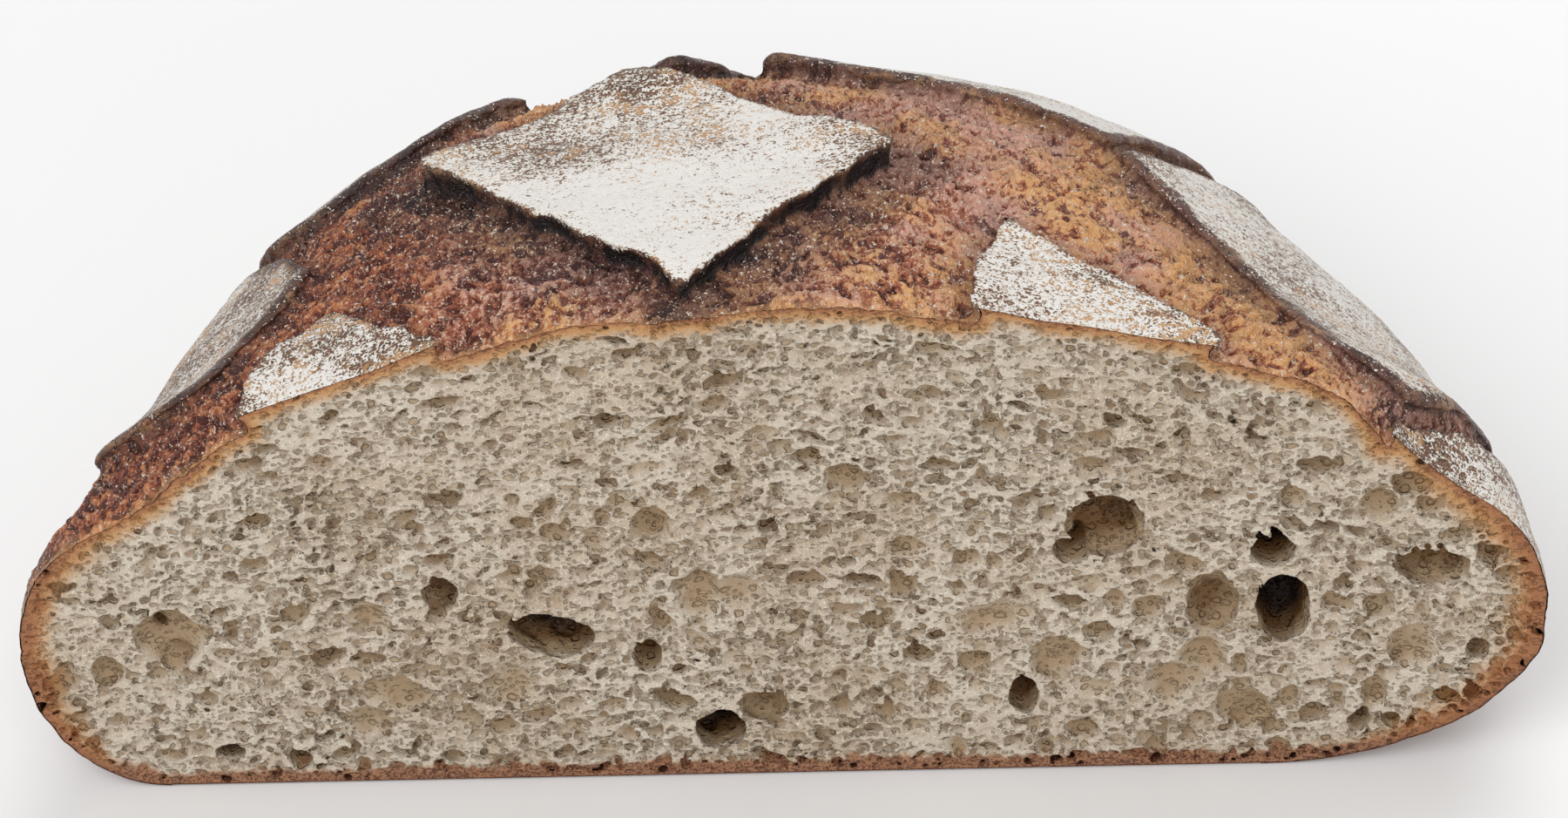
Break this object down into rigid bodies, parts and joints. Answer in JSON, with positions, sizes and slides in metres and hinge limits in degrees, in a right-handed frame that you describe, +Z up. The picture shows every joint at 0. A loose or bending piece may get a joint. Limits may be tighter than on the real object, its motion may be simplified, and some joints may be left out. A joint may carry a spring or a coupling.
{
  "type": "half sourdough loaf",
  "caption": "Half of a round, scored sourdough loaf standing on its flat base, with the open crumb showing on the upright cut face.",
  "frame": {"origin": "middle of the bounding box in plan, on the surface the loaf stands on", "axes": "+X along the cut face to the viewer's right, +Y from the cut face into the loaf, +Z up"},
  "size_m": [0.2392, 0.1146, 0.0991],
  "materials": {
    "bread": "matte"
  },
  "bodies": {
    "root": {"loaf": "bread"}
  },
  "joints": []
}
